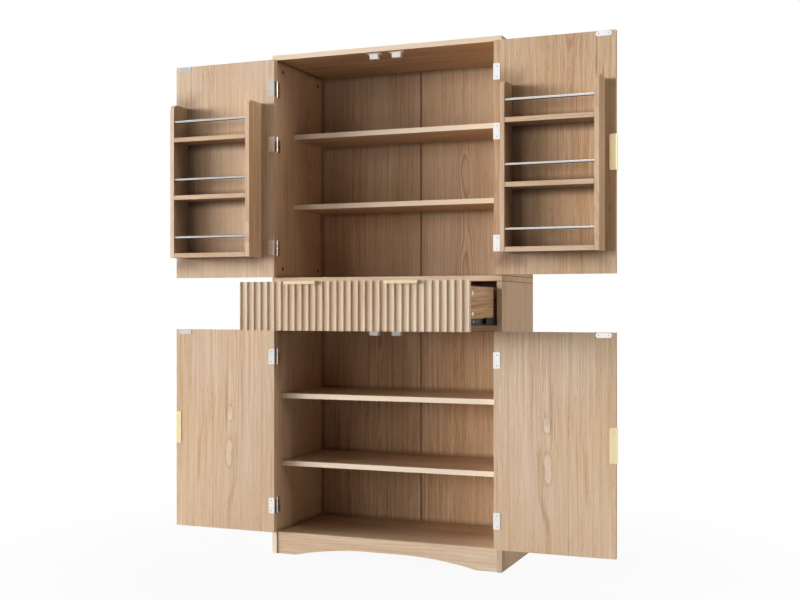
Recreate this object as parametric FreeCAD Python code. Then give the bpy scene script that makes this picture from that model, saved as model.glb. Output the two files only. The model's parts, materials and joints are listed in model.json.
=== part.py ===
"""Tall kitchen hutch: a two-tier board carcass with four hinged doors, door racks and one drawer.

Units are millimetres.  X runs across the width, Y from front to back and Z up.  Every piece is first
placed in the closed hutch, with the front plane of the carcass at y = 0 and the floor at z = 0.
Right-hand pieces are built and the left-hand ones are their mirror images.  The doors are then swung
fully open and the drawer is pulled out, which is how the hutch is shown, and the origin is moved to
the middle of the footprint that it then has.
"""
import FreeCAD, Part
import math
import os

V = FreeCAD.Vector

# Overall size of the carcass
height = 1800.0
width = 864.0
depth = 400.0
board = 18.0  # thickness of the carcass boards and shelves
edge_round = 0.6  # softened edges of every board

# Clear heights of the openings, from the floor up (the upper cabinet takes the rest)
kick_height = 78.0
lower_clear = 732.0
drawer_clear = 150.0

# Back panels, held in grooves and joined along the middle
back_thick = 5.0
back_recess = 11.0  # from the rear edge of the sides to the rear of the back panels
groove_depth = 6.0
groove_fit = 0.2
joiner_flange = 8.0
joiner_thick = 1.0

# Arched kick board
kick_set_back = 4.0
arch_rise = 31.0
arch_foot = 74.0  # length of the flat foot at each end
arch_radius = 1260.0  # of the arcs beside the flat top, unless a narrow hutch leaves them less room
arch_least_flat = 20.0  # length of the flat top in such a hutch

# Shelves on pins, and how far each pair is moved from an even division of its cabinet
upper_shelf_clear = 22.0  # behind the racks of the closed doors
lower_shelf_clear = 15.0  # behind the closed doors
upper_shelf_shifts = (-1.0, 6.0)
lower_shelf_shifts = (-1.0, 4.0)
shelf_side_gap = 1.0
shelf_back_gap = 2.5
pin_radius = 2.5
pin_bite = 9.0
pin_reach = 8.0
pin_inset = 42.0
pin_fit = 0.05

# Cam fasteners
cam_radius = 7.5
cam_depth = 12.5
cam_setting = 34.0  # from the end of the board to the centre of the cam
cam_front = 48.0
cam_back = 55.0  # from the rear edge
cam_stagger = 24.0  # keeps the bolts above and below the base top apart
bolt_radius = 3.0
bolt_bite = 11.0
bolt_room = 0.6
cam_fit = 0.1
driver_slot = 1.6
driver_length = 12.0
driver_depth = 2.0

# Doors
door_thick = 18.0
door_end_gap = 2.0
flute_pitch = 25.5
flute_depth = 5.5
flute_land = 4.0  # flat left between two hollow flutes
flute_corner = 4.0  # radius where a flute's wall turns into its bottom
flute_sweep = 60.0  # radius of the wide, shallow bottom of a flute

# Butt hinges with a door leaf that wraps round the door's edge
hinge_height = 55.0
hinge_leaf_thick = 1.2
hinge_leaf_width = 25.0
hinge_wing = 22.0
hinge_corner = 3.0
hinge_play = 0.4
barrel_radius = 3.0
barrel_gap = 1.0  # from the barrel to the front plane
knuckles = 5
knuckle_gap = 0.3
hinge_pin_radius = 1.5
hinge_pin_fit = 0.05
hinge_pin_head = 1.0
hinge_pin_head_radius = 2.25
hinge_screw_pitch = 18.0
hinge_screw_near = 9.0  # the middle screw of a frame leaf, from the front plane
hinge_screw_far = 16.5  # the other two
wing_screw_inset = 12.0  # from the door's edge
upper_hinge_end = 105.0
upper_hinge_third = 199.0  # from the top hinge down to the extra one
lower_hinge_end = 96.0

# Screws
screw_head = 3.0
screw_shank = 1.6
screw_length = 11.0
screw_fit = 0.1
cross_slot = 0.8  # cross recess in the head
cross_length = 3.0
cross_depth = 1.2

# Edge pulls on the doors and the drawer
pull_length = 116.0
pull_thick = 1.5
pull_plate = 20.5
pull_reach = 12.0  # in front of the panel
pull_lip = 11.0
pull_corner = 5.0
pull_bend = 1.2
pull_play = 1.5  # between a pull and what it closes against
pull_screw_pitch = 84.0
upper_pull_drop = 1.0  # pull centre below the middle of the upper door

# Magnetic catches and their strike plates
catch_centre = 42.0
catch_flange = 50.0
catch_flange_thick = 3.0
catch_body = 32.0
catch_body_drop = 17.0
catch_deep = 18.0
catch_screw_pitch = 41.0
pole_width = 24.0
pole_thick = 1.6
pole_pitch = 8.0
pole_stand = 0.3
strike_length = 52.0
strike_width = 16.0
strike_corner = 7.2
strike_thick = 1.2
strike_gap = 0.8
strike_screw_pitch = 34.0

# Door racks
rack_board = 16.0
rack_depth = 96.0
rack_free_inset = 34.0  # from the door's free edge
rack_hinge_inset = 49.2  # from its hinge edge
rack_lift = 71.0  # above the bottom of the door
rack_drop = 155.0  # below its top
rack_tiers = 3
rack_top = 137.0  # height of the sides above the underside of the top shelf
rack_corner = 22.0
rail_radius = 5.0
rail_wall = 1.0
rail_above = 58.0  # rail centre above its shelf
rail_set_back = 8.0
rail_bite = 6.0
rail_fit = 0.1

# Drawer
front_side_gap = 6.0
front_bottom_gap = 1.0
deck_gap = 2.0
drawer_wall = 12.0
drawer_side_height = 123.0
drawer_lift = 5.0  # above the deck
drawer_rear_gap = 18.5
drawer_bottom_thick = 4.0
drawer_bottom_lift = 15.0
drawer_groove = 5.0
drawer_cam_depth = 9.0
drawer_cam_setting = 40.0
drawer_cam_lifts = (35.0, 101.0)
back_screw_length = 32.0
back_screw_lifts = (40.0, 95.0)
drawer_pull_offset = 180.0

# Three-section drawer slides
slide_space = 12.8
slide_height = 27.0
slide_lift = 1.5  # above the deck
slide_sheet = 1.2
slide_play = 0.8
slide_set_back = 4.0  # behind the drawer front
slide_rear_gap = 9.5
slide_middle_short = 10.0  # shorter than the outer member by this much
slide_inner_short = 14.0
slide_web_gap = 1.0
slide_tip_gap = 0.6
slide_tip_step = 1.5
slide_screw_front = 40.0
slide_screw_rear = 54.0
slide_screw_length = 9.0

# How the hutch is shown
door_swing = 180.0
drawer_out = 280.0

# Levels and planes worked out from the sizes above
half_width = width / 2
side_in = half_width - board
floor_top = kick_height
floor_bottom = floor_top - board
deck_bottom = floor_top + lower_clear
deck_top = deck_bottom + board
counter_bottom = deck_top + drawer_clear
counter_top = counter_bottom + board
ceiling = height - board
back_rear = depth - back_recess
back_front = back_rear - back_thick
board_rear = back_front - shelf_back_gap
kick_rear = kick_set_back + board
deck_front = door_thick + deck_gap
hinge_gap = 2 * hinge_leaf_thick + hinge_play
door_edge = side_in - hinge_gap
door_free = pull_thick + pull_play
front_top_gap = pull_thick + pull_play
axis_x = side_in - barrel_radius
axis_y = -barrel_radius - barrel_gap
strike_face = door_thick + strike_thick
catch_front = strike_face + strike_gap
upper_shelf_front = door_thick + rack_depth + upper_shelf_clear
lower_shelf_front = door_thick + lower_shelf_clear
slide_start = door_thick + slide_set_back
slide_length = board_rear - slide_rear_gap - slide_start
slide_screw_last = slide_length - slide_screw_rear
slide_screws = (slide_screw_front, (slide_screw_front + slide_screw_last) / 2, slide_screw_last)
footprint_middle = (depth - drawer_out - pull_reach) / 2

flat_angle = 0.001  # how far from parallel an edge may be and still count as parallel
nodes = {}
cutters = {}


def box(x0, x1, y0, y1, z0, z1):
    """Block between two opposite corners."""
    return Part.makeBox(x1 - x0, y1 - y0, z1 - z0, V(x0, y0, z0))


def softened(shape):
    """A board with every edge slightly rounded."""
    return shape.makeFillet(edge_round, shape.Edges)


def plank(x0, x1, y0, y1, z0, z1):
    """Board between two opposite corners, with softened edges."""
    return softened(box(x0, x1, y0, y1, z0, z1))


def rod(radius, length, start, direction):
    """Round bar from a start point along a direction."""
    return Part.makeCylinder(radius, length, start, direction)


def mirrored(shape):
    """The same shape on the other side of the hutch."""
    return shape.mirror(V(0, 0, 0), V(1, 0, 0))


def both(shapes):
    """Right-hand shapes together with their mirror images."""
    return list(shapes) + [mirrored(s) for s in shapes]


def take_out(name, *shapes):
    """Remember shapes to be cut from a named board."""
    cutters.setdefault(name, []).extend(shapes)


def bored(name, shape):
    """A board with everything cut out that was remembered for it."""
    return shape.cut(cutters[name]) if name in cutters else shape


def rounded(shape, radius, direction, keep):
    """Round the edges along a direction whose middle point passes a test."""
    edges = []
    for edge in shape.Edges:
        start, end = (v.Point for v in edge.Vertexes)
        along = (end - start).normalize()
        if along.cross(direction).Length < flat_angle and keep((start + end) * 0.5):
            edges.append(edge)
    return shape.makeFillet(radius, edges)


def slot_at(face, along, inward, length, wide, deep):
    """Block that cuts a slot: centred on a point of a face, running along one way and into the face."""
    across = inward.cross(along)
    turn = FreeCAD.Matrix(
        along.x, across.x, inward.x, face.x,
        along.y, across.y, inward.y, face.y,
        along.z, across.z, inward.z, face.z,
        0, 0, 0, 1,
    )
    slot = Part.makeBox(length, wide, deep, V(-length / 2, -wide / 2, 0))
    return slot.transformGeometry(turn)


def screw_blank(head, direction, length, extra):
    """Shank and countersunk head, all of it thicker by extra."""
    cone = screw_head - screw_shank
    shank = rod(screw_shank + extra, length + extra, head, direction)
    top = Part.makeCone(screw_head + extra, screw_shank + extra, cone, head, direction)
    return shank.fuse(top)


def screw(head, direction, length=screw_length):
    """Countersunk screw whose flat head, with its cross recess, lies at a point."""
    upright = V(1, 0, 0) if abs(direction.z) > 0.5 else V(0, 0, 1)
    ways = (upright, direction.cross(upright))
    cross = [slot_at(head, way, direction, cross_length, cross_slot, cross_depth) for way in ways]
    return screw_blank(head, direction, length, 0.0).cut(cross)


def screw_hole(head, direction, length=screw_length):
    """Hole for a screw, with its fit all round."""
    return screw_blank(head, direction, length, screw_fit)


def cam_set(face, inward, toward, setting, disc_depth, bolt_deep):
    """One cam, its bolt and the two cuts that take them.

    face is the point on the board's face over the centre of the cam, inward points into that face,
    toward points along the board to its end and on into the board that is pulled up to it, and
    bolt_deep is how far the bolt's centre lies below the face.
    """
    centre = face + inward * bolt_deep
    bolt = rod(bolt_radius, setting + bolt_bite, centre, toward)
    bolt_way = rod(bolt_radius + bolt_room, setting, centre, toward)
    disc = rod(cam_radius, disc_depth, face, inward)
    slot = slot_at(face, toward, inward, driver_length, driver_slot, driver_depth)
    disc = disc.cut([bolt_way, slot])
    disc_way = rod(cam_radius + cam_fit, disc_depth + cam_fit, face, inward)
    end_way = rod(bolt_radius + cam_fit, setting + bolt_bite + cam_fit, centre, toward)
    return disc, bolt, [disc_way, bolt_way], [end_way]


def flute_edges(x0, x1, z):
    """Edges of one hollow flute: short wall, corner arc, wide bottom arc, corner arc, short wall."""
    mid = (x0 + x1) / 2
    corner_x = (x1 - x0) / 2 - flute_corner
    between = flute_sweep - flute_corner  # distance of the two centres when the arcs are tangent
    lean = math.asin(corner_x / between)
    sweep_y = flute_depth - flute_sweep
    corner_y = sweep_y + between * math.cos(lean)

    def on_corner(side, angle):
        return V(mid + side * (corner_x + flute_corner * math.sin(angle)), corner_y + flute_corner * math.cos(angle), z)

    half_turn = (math.pi / 2 + lean) / 2
    left = [on_corner(-1, angle) for angle in (math.pi / 2, half_turn, lean)]
    right = [on_corner(1, angle) for angle in (lean, half_turn, math.pi / 2)]
    pieces = [
        Part.LineSegment(V(x0, 0, z), left[0]),
        Part.Arc(*left),
        Part.Arc(left[2], V(mid, flute_depth, z), right[0]),
        Part.Arc(*right),
        Part.LineSegment(right[2], V(x1, 0, z)),
    ]
    return [piece.toShape() for piece in pieces]


def fluted_panel(x0, x1, z0, z1):
    """Upright panel whose front has hollow flutes side by side, with a narrow flat land between them."""
    count = max(1, round((x1 - x0) / flute_pitch))
    pitch = (x1 - x0) / count
    rear_corner = V(x0, door_thick, z0)
    here = V(x0, 0, z0)
    edges = [Part.LineSegment(rear_corner, here).toShape()]
    for i in range(count):
        left = x0 + i * pitch
        start = left + flute_land / 2
        end = left + pitch - flute_land / 2
        edges.append(Part.LineSegment(here, V(start, 0, z0)).toShape())
        edges += flute_edges(start, end, z0)
        here = V(end, 0, z0)
    for point in (V(x1, 0, z0), V(x1, door_thick, z0), rear_corner):
        edges.append(Part.LineSegment(here, point).toShape())
        here = point
    panel = Part.Face(Part.Wire(edges)).extrude(V(0, 0, z1 - z0))
    rear_edges = [e for e in panel.Edges if e.BoundBox.YMin > flute_depth + edge_round]
    return panel.makeFillet(edge_round, rear_edges)


def edge_pull():
    """Bent edge pull and its two screw heads, on a panel edge at x = 0 with the panel at x > 0."""
    half = pull_length / 2
    plate_y = door_thick + pull_thick
    web = box(-pull_thick, 0, -pull_reach, plate_y, -half, half)
    plate = box(-pull_thick, pull_plate, door_thick, plate_y, -half, half)
    plate = rounded(plate, pull_corner, V(0, 1, 0), lambda p: p.x > 0)
    lip = box(-pull_thick, pull_lip - pull_thick, -pull_reach, pull_thick - pull_reach, -half, half)
    lip = rounded(lip, pull_corner, V(0, 1, 0), lambda p: p.x > 0)
    body = web.fuse([plate, lip]).removeSplitter()
    body = rounded(body, pull_bend, V(0, 0, 1), lambda p: p.x < -pull_thick / 2)
    heads = [V(pull_plate / 2, plate_y, s * pull_screw_pitch / 2) for s in (-1, 1)]
    screws = [screw(p, V(0, -1, 0)) for p in heads]
    holes = [screw_hole(p, V(0, -1, 0)) for p in heads]
    return body.cut(holes), screws, holes


def add_carcass_boards():
    """Boards of the right half and the full-width boards, before their bores."""
    groove_front = back_front - groove_fit
    groove_rear = back_rear + groove_fit
    groove_x = side_in + groove_depth

    upper_side = plank(side_in, half_width, 0, depth, counter_top, ceiling)
    take_out("upper_right_side", box(side_in, groove_x, groove_front, groove_rear, counter_top, ceiling))
    lower_side = plank(side_in, half_width, 0, depth, 0, counter_bottom)
    lower_groove = box(side_in, groove_x, groove_front, groove_rear, floor_bottom, counter_bottom)
    take_out("lower_right_side", lower_groove)

    top = plank(-half_width, half_width, 0, depth, ceiling, height)
    top_groove = box(-groove_x, groove_x, groove_front, groove_rear, ceiling, ceiling + groove_depth)
    take_out("top_panel", top_groove)
    counter = plank(-half_width, half_width, 0, depth, counter_bottom, counter_top)
    for z0 in (counter_bottom, counter_top - groove_depth):
        take_out("base_top", box(-groove_x, groove_x, groove_front, groove_rear, z0, z0 + groove_depth))

    deck = plank(-side_in, side_in, deck_front, board_rear, deck_bottom, deck_top)
    bottom = plank(-side_in, side_in, kick_rear, board_rear, floor_bottom, floor_top)
    return {
        "upper_right_side": upper_side,
        "lower_right_side": lower_side,
        "top_panel": top,
        "base_top": counter,
        "drawer_deck": deck,
        "bottom_panel": bottom,
    }


def add_kick_board():
    """Kick board with a flat-topped arch between two flat feet."""
    foot = side_in - arch_foot
    run = (arch_radius**2 - (arch_radius - arch_rise) ** 2) ** 0.5
    run = min(run, foot - arch_least_flat / 2)
    flat = foot - run
    half_run = run / 2
    radius = (run**2 + arch_rise**2) / (2 * arch_rise)
    sag = radius - (radius**2 - half_run**2) ** 0.5
    y = kick_set_back
    lines = [
        Part.LineSegment(V(-foot, y, 0), V(foot, y, 0)),
        Part.Arc(V(foot, y, 0), V(flat + half_run, y, arch_rise - sag), V(flat, y, arch_rise)),
        Part.LineSegment(V(flat, y, arch_rise), V(-flat, y, arch_rise)),
        Part.Arc(V(-flat, y, arch_rise), V(-flat - half_run, y, arch_rise - sag), V(-foot, y, 0)),
    ]
    arch = Part.Face(Part.Wire([line.toShape() for line in lines])).extrude(V(0, board, 0))
    nodes["kick_board"] = softened(box(-side_in, side_in, y, kick_rear, 0, kick_height).cut(arch))


def add_back_panels():
    """Two thin panels behind each cabinet and the strip that joins each pair."""
    web = joiner_thick / 2
    reach = groove_depth - groove_fit
    joiners = []
    tiers = (("upper", counter_top, ceiling, reach), ("lower", floor_bottom, counter_bottom, 0))
    for tier, z0, z1, low in tiers:
        panel = box(web + groove_fit, side_in + reach, back_front, back_rear, z0 - low, z1 + reach)
        nodes[f"{tier}_back_right"] = panel
        nodes[f"{tier}_back_left"] = mirrored(panel)
        front = back_front - groove_fit
        rear = back_rear + groove_fit
        half = joiner_flange / 2
        strip = box(-web, web, front, rear, z0, z1)
        strip = strip.fuse(box(-half, half, front - joiner_thick, front, z0, z1))
        strip = strip.fuse(box(-half, half, rear, rear + joiner_thick, z0, z1))
        joiners.append(strip.removeSplitter())
    nodes["back_joiners"] = joiners


def add_shelves():
    """Loose shelves of both cabinets on round pins in the sides."""
    pins = []
    tiers = (
        ("upper", counter_top, ceiling, upper_shelf_front, upper_shelf_shifts),
        ("lower", floor_top, deck_bottom, lower_shelf_front, lower_shelf_shifts),
    )
    half = side_in - shelf_side_gap
    for tier, z0, z1, front, shifts in tiers:
        count = len(shifts)
        clear = (z1 - z0 - count * board) / (count + 1)
        for i, shift in enumerate(shifts):
            top = z1 - (i + 1) * (clear + board) + board + shift
            under = top - board
            nodes[f"{tier}_shelf_{i + 1}"] = plank(-half, half, front, board_rear, under, top)
            for y in (front + pin_inset, board_rear - pin_inset):
                start = V(side_in - pin_reach, y, under - pin_radius - pin_fit)
                pins.append(rod(pin_radius, pin_reach + pin_bite, start, V(1, 0, 0)))
                hole = rod(pin_radius + pin_fit, pin_bite + pin_fit, V(side_in, y, start.z), V(1, 0, 0))
                take_out(f"{tier}_right_side", hole)
    nodes["shelf_pins"] = both(pins)


def add_cams():
    """Cams in the ends of the boards, with bolts into the boards that they pull up to."""
    up = V(0, 0, 1)
    down = V(0, 0, -1)
    out = V(1, 0, 0)
    joints = (
        ("upper_right_side", "top_panel", V(side_in, 0, ceiling - cam_setting), out, up),
        ("upper_right_side", "base_top", V(side_in, 0, counter_top + cam_setting), out, down),
        ("lower_right_side", "base_top", V(side_in, cam_stagger, counter_bottom - cam_setting), out, up),
        ("drawer_deck", "lower_right_side", V(side_in - cam_setting, 0, deck_bottom), up, out),
        ("bottom_panel", "lower_right_side", V(side_in - cam_setting, 0, floor_bottom), up, out),
    )
    shared = ("top_panel", "base_top", "drawer_deck", "bottom_panel")
    pieces = []
    for holder, mate, face, inward, toward in joints:
        for y in (cam_front, depth - cam_back):
            place = face + V(0, y, 0)
            cam, bolt, holder_cuts, mate_cuts = cam_set(
                place, inward, toward, cam_setting, cam_depth, board / 2
            )
            pieces += [cam, bolt]
            take_out(holder, *(both(holder_cuts) if holder in shared else holder_cuts))
            take_out(mate, *(both(mate_cuts) if mate in shared else mate_cuts))
    nodes["cam_fasteners"] = both(pieces)


def hinge_at(z):
    """Leaves and pin of one right-hand hinge with its middle at height z, and the screws' places."""
    low = z - hinge_height / 2
    high = z + hinge_height / 2
    frame_x = side_in - hinge_leaf_thick
    arm_x = door_edge + hinge_leaf_thick
    leaf = box(frame_x, side_in, 0, hinge_leaf_width, low, high)
    frame = [rounded(leaf, hinge_corner, V(1, 0, 0), lambda p: p.y > hinge_leaf_width / 2)]
    wing_x = door_edge - hinge_wing
    wing = box(wing_x, arm_x, door_thick, door_thick + hinge_leaf_thick, low, high)
    wing = rounded(wing, hinge_corner, V(0, 1, 0), lambda p: p.x < door_edge)
    door = [wing, box(door_edge, arm_x, 0, door_thick, low, high)]
    step = hinge_height / knuckles
    for i in range(knuckles):
        z0 = low + i * step + knuckle_gap / 2
        z1 = low + (i + 1) * step - knuckle_gap / 2
        barrel = rod(barrel_radius, z1 - z0, V(axis_x, axis_y, z0), V(0, 0, 1))
        if i % 2 == 0:
            frame += [barrel, box(frame_x, side_in, axis_y, 0, z0, z1)]
        else:
            door += [barrel, box(door_edge, arm_x, axis_y, 0, z0, z1)]
    bore = rod(hinge_pin_radius + hinge_pin_fit, hinge_height, V(axis_x, axis_y, low), V(0, 0, 1))
    frame = frame[0].fuse(frame[1:]).removeSplitter().cut(bore)
    door = door[0].fuse(door[1:]).removeSplitter().cut(bore)
    pin = rod(hinge_pin_radius, hinge_height, V(axis_x, axis_y, low), V(0, 0, 1))
    for z0 in (low - hinge_pin_head, high):
        pin = pin.fuse(rod(hinge_pin_head_radius, hinge_pin_head, V(axis_x, axis_y, z0), V(0, 0, 1)))
    rows = ((hinge_screw_far, -1), (hinge_screw_near, 0), (hinge_screw_far, 1))
    frame_points = [V(frame_x, y, z + s * hinge_screw_pitch) for y, s in rows]
    wing_y = door_thick + hinge_leaf_thick
    door_points = [V(door_edge - wing_screw_inset, wing_y, z + s * hinge_screw_pitch) for s in (-1, 1)]
    return frame, door, pin.removeSplitter(), frame_points, door_points


def add_door(tier, z0, z1, hinge_heights, pull_z, frame_leaves, pins, frame_screws):
    """Right-hand and left-hand doors of one cabinet with their leaves, pull, strike and screws."""
    door = fluted_panel(door_free, door_edge, z0, z1)
    leaves = []
    screws = []
    holes = []
    for z in hinge_heights:
        frame, leaf, pin, frame_points, door_points = hinge_at(z)
        frame_holes = [screw_hole(p, V(1, 0, 0)) for p in frame_points]
        frame_leaves.append(frame.cut(frame_holes))
        frame_screws += [screw(p, V(1, 0, 0)) for p in frame_points]
        take_out(f"{tier}_right_side", *frame_holes)
        door_holes = [screw_hole(p, V(0, -1, 0)) for p in door_points]
        leaves.append(leaf.cut(door_holes))
        screws += [screw(p, V(0, -1, 0)) for p in door_points]
        holes += door_holes
        pins.append(pin)

    strike_z = z1 + door_end_gap - catch_flange_thick - catch_body_drop / 2
    strike = box(
        catch_centre - strike_length / 2, catch_centre + strike_length / 2, door_thick, strike_face,
        strike_z - strike_width / 2, strike_z + strike_width / 2,
    )
    strike = rounded(strike, strike_corner, V(0, 1, 0), lambda p: True)
    strike_points = [V(catch_centre + s * strike_screw_pitch / 2, strike_face, strike_z) for s in (-1, 1)]
    strike_holes = [screw_hole(p, V(0, -1, 0)) for p in strike_points]
    screws += [screw(p, V(0, -1, 0)) for p in strike_points]

    pull, pull_screws, pull_holes = edge_pull()
    for piece in [pull] + pull_screws + pull_holes:
        piece.translate(V(door_free, 0, pull_z))
    screws += pull_screws
    door = door.cut(holes + strike_holes + pull_holes)
    return {
        "door": [door],
        "pull": [pull],
        "hinge_leaves": leaves,
        "strike": [strike.cut(strike_holes)],
        "screws": screws,
    }


def rack_pieces(door_bottom, door_top):
    """Side boards, shelves and rails of the rack on the inside of a closed right-hand upper door."""
    x0 = door_free + rack_free_inset
    x1 = door_edge - rack_hinge_inset
    y0 = door_thick
    y1 = y0 + rack_depth
    z0 = door_bottom + rack_lift
    z1 = door_top - rack_drop
    pitch = (z1 - z0 - rack_top) / (rack_tiers - 1)
    rail_y = y1 - rail_set_back
    sides = []
    for a in (x0, x1 - rack_board):
        side = box(a, a + rack_board, y0, y1, z0, z1)
        side = rounded(side, rack_corner, V(1, 0, 0), lambda p: p.y > rail_y and p.z > z0 + pitch)
        sides.append(softened(side))
    shelves = []
    rails = []
    start_x = x0 + rack_board - rail_bite
    rail_length = x1 - x0 - 2 * rack_board + 2 * rail_bite
    holes = []
    for i in range(rack_tiers):
        z = z0 + i * pitch
        shelves.append(plank(x0 + rack_board, x1 - rack_board, y0, y1, z, z + rack_board))
        start = V(start_x, rail_y, z + rack_board + rail_above)
        tube = rod(rail_radius, rail_length, start, V(1, 0, 0))
        rails.append(tube.cut(rod(rail_radius - rail_wall, rail_length, start, V(1, 0, 0))))
        hole_start = start - V(rail_fit, 0, 0)
        holes.append(rod(rail_radius + rail_fit, rail_length + 2 * rail_fit, hole_start, V(1, 0, 0)))
    sides = [side.cut(holes) for side in sides]
    return {"rack_sides": sides, "rack_shelves": shelves, "rack_rails": rails}


def opened(shape):
    """A piece of a right-hand door, swung open about the hinge pins."""
    turned = shape.copy()
    turned.rotate(V(axis_x, axis_y, 0), V(0, 0, 1), door_swing)
    return turned


def add_doors():
    """All four doors, the racks on the upper pair and the hinge parts that stay on the carcass."""
    frame_leaves = []
    pins = []
    frame_screws = []
    upper_low = counter_top + door_end_gap
    upper_high = ceiling - door_end_gap
    lower_low = floor_top + door_end_gap
    lower_high = deck_bottom - door_end_gap
    upper_hinges = (
        upper_high - upper_hinge_end,
        upper_high - upper_hinge_end - upper_hinge_third,
        upper_low + upper_hinge_end,
    )
    lower_hinges = (lower_high - lower_hinge_end, lower_low + lower_hinge_end)
    upper_pull = (upper_low + upper_high) / 2 - upper_pull_drop
    lower_pull = (lower_low + lower_high) / 2
    shared = (frame_leaves, pins, frame_screws)
    upper = add_door("upper", upper_low, upper_high, upper_hinges, upper_pull, *shared)
    lower = add_door("lower", lower_low, lower_high, lower_hinges, lower_pull, *shared)
    for tier, pieces in (("upper", upper), ("lower", lower)):
        for name, solids in pieces.items():
            right = [opened(s) for s in solids]
            nodes[f"{tier}_right_{name}"] = right
            nodes[f"{tier}_left_{name}"] = [mirrored(s) for s in right]
    for name, solids in rack_pieces(upper_low, upper_high).items():
        right = [opened(s) for s in solids]
        nodes[f"right_{name}"] = right
        nodes[f"left_{name}"] = [mirrored(s) for s in right]
    nodes["hinge_frame_leaves"] = both(frame_leaves)
    nodes["hinge_pins"] = both(pins)
    return frame_screws


def add_catches():
    """Magnetic catches under the top panel and under the deck, with two steel pole plates in each."""
    pieces = []
    screws = []
    rear = catch_front + catch_deep
    for name, z in (("top_panel", ceiling), ("drawer_deck", deck_bottom)):
        under = z - catch_flange_thick
        half = catch_flange / 2
        body = box(catch_centre - half, catch_centre + half, catch_front, rear, under, z)
        half = catch_body / 2
        low = under - catch_body_drop
        body = body.fuse(box(catch_centre - half, catch_centre + half, catch_front, rear, low, under))
        body = body.removeSplitter()
        middle = (low + under) / 2
        half = pole_width / 2
        plates = []
        for s in (-1, 1):
            zp = middle + s * pole_pitch / 2
            plates.append(
                box(
                    catch_centre - half, catch_centre + half,
                    catch_front - pole_stand, catch_front + catch_deep / 2,
                    zp - pole_thick / 2, zp + pole_thick / 2,
                )
            )
        screw_y = catch_front + catch_deep / 2
        points = [V(catch_centre + s * catch_screw_pitch / 2, screw_y, under) for s in (-1, 1)]
        holes = [screw_hole(p, V(0, 0, 1)) for p in points]
        take_out(name, *both(holes))
        screws += [screw(p, V(0, 0, 1)) for p in points]
        pieces += [body.cut(plates + holes)] + plates
    nodes["magnet_catches"] = both(pieces)
    return screws


def channel(x_web, x_tip, z0, z1, y0, length):
    """Folded sheet channel: an upright web with a flange along its top and its bottom."""
    web_to = x_web + slide_sheet
    web = box(x_web, web_to, y0, y0 + length, z0, z1)
    x0 = min(x_tip, x_web)
    x1 = max(x_tip, web_to)
    flanges = [
        box(x0, x1, y0, y0 + length, z0, z0 + slide_sheet),
        box(x0, x1, y0, y0 + length, z1 - slide_sheet, z1),
    ]
    return web.fuse(flanges).removeSplitter()


def add_slides():
    """Outer, middle and inner members of the right-hand slide, and the screws of the first and last."""
    z0 = deck_top + slide_lift
    z1 = z0 + slide_height
    step = slide_sheet + slide_play
    outer_web = side_in - slide_sheet
    middle_web = outer_web - slide_web_gap - slide_sheet
    drawer_face = side_in - slide_space
    inner_face = drawer_face + slide_sheet
    middle_tip = inner_face + slide_tip_gap
    outer_tip = middle_tip + slide_tip_step
    inner_tip = middle_web - 2 * slide_tip_gap
    outer = channel(outer_web, outer_tip, z0, z1, slide_start, slide_length)
    middle_start = slide_start + slide_middle_short / 2
    middle_length = slide_length - slide_middle_short
    middle = channel(middle_web, middle_tip, z0 + step, z1 - step, middle_start, middle_length)
    inner_length = slide_length - slide_inner_short
    inner = channel(drawer_face, inner_tip, z0 + 2 * step, z1 - 2 * step, slide_start, inner_length)

    zc = (z0 + z1) / 2
    outer_points = [V(outer_web, slide_start + y, zc) for y in slide_screws]
    outer_holes = [screw_hole(p, V(1, 0, 0)) for p in outer_points]
    take_out("lower_right_side", *outer_holes)
    frame_screws = [screw(p, V(1, 0, 0)) for p in outer_points]
    inner_points = [V(inner_face, slide_start + y, zc) for y in slide_screws]
    inner_holes = [screw_hole(p, V(-1, 0, 0), slide_screw_length) for p in inner_points]
    take_out("drawer_right_side", *inner_holes)
    drawer_screws = [screw(p, V(-1, 0, 0), slide_screw_length) for p in inner_points]

    nodes["slide_outer_members"] = both([outer.cut(outer_holes)])
    middle.translate(V(0, -drawer_out / 2, 0))
    nodes["slide_middle_members"] = both([middle])
    return frame_screws, inner.cut(inner_holes), drawer_screws


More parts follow.
